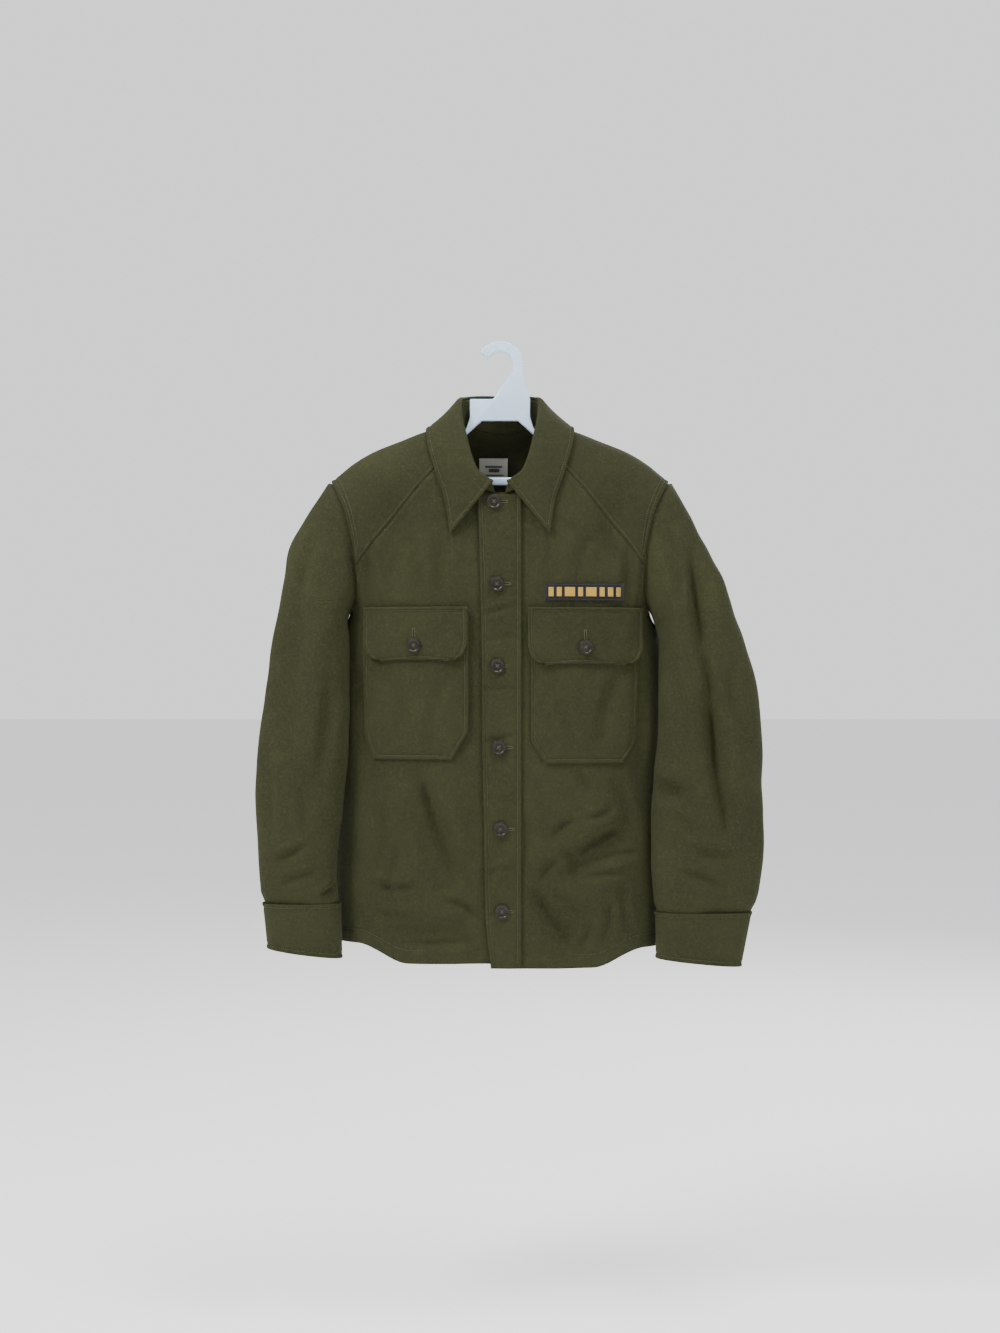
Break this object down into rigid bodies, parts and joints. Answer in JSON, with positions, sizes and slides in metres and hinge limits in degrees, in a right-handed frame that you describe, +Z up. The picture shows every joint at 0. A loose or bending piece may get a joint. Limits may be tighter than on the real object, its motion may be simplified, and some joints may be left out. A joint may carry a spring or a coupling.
{
  "type": "field shirt on a hanger",
  "caption": "Olive wool field shirt with flapped chest pockets and a pointed collar, buttoned and hanging on a flat plastic hanger.",
  "frame": {"origin": "hang point, the highest point inside the hanger's hook", "axes": "+Z up, -Y towards the shirt's front, +X towards the viewer's right"},
  "size_m": [0.6721, 0.0962, 0.8281],
  "materials": {
    "wool": "napped olive wool twill",
    "button": "dark brown glossy plastic",
    "tape": "black woven tape with gold bars",
    "label": "off-white woven cotton",
    "hanger": "pale blue moulded plastic"
  },
  "bodies": {
    "root": {"back": "wool", "button_band": "wool", "collar_fall": "wool", "collar_stand": "wool", "cuff_left": "wool", "cuff_right": "wool", "flap_left": "wool", "flap_right": "wool", "front_left": "wool", "front_right": "wool", "pocket_left": "wool", "pocket_right": "wool", "sleeve_left": "wool", "sleeve_right": "wool", "yoke": "wool", "cuff_button_left": "button", "cuff_button_right": "button", "flap_button_left": "button", "flap_button_right": "button", "front_button_1": "button", "front_button_2": "button", "front_button_3": "button", "front_button_4": "button", "front_button_5": "button", "front_button_6": "button", "name_strip": "tape", "neck_label": "label", "hanger_body": "hanger", "hanger_bar": "hanger"}
  },
  "joints": []
}
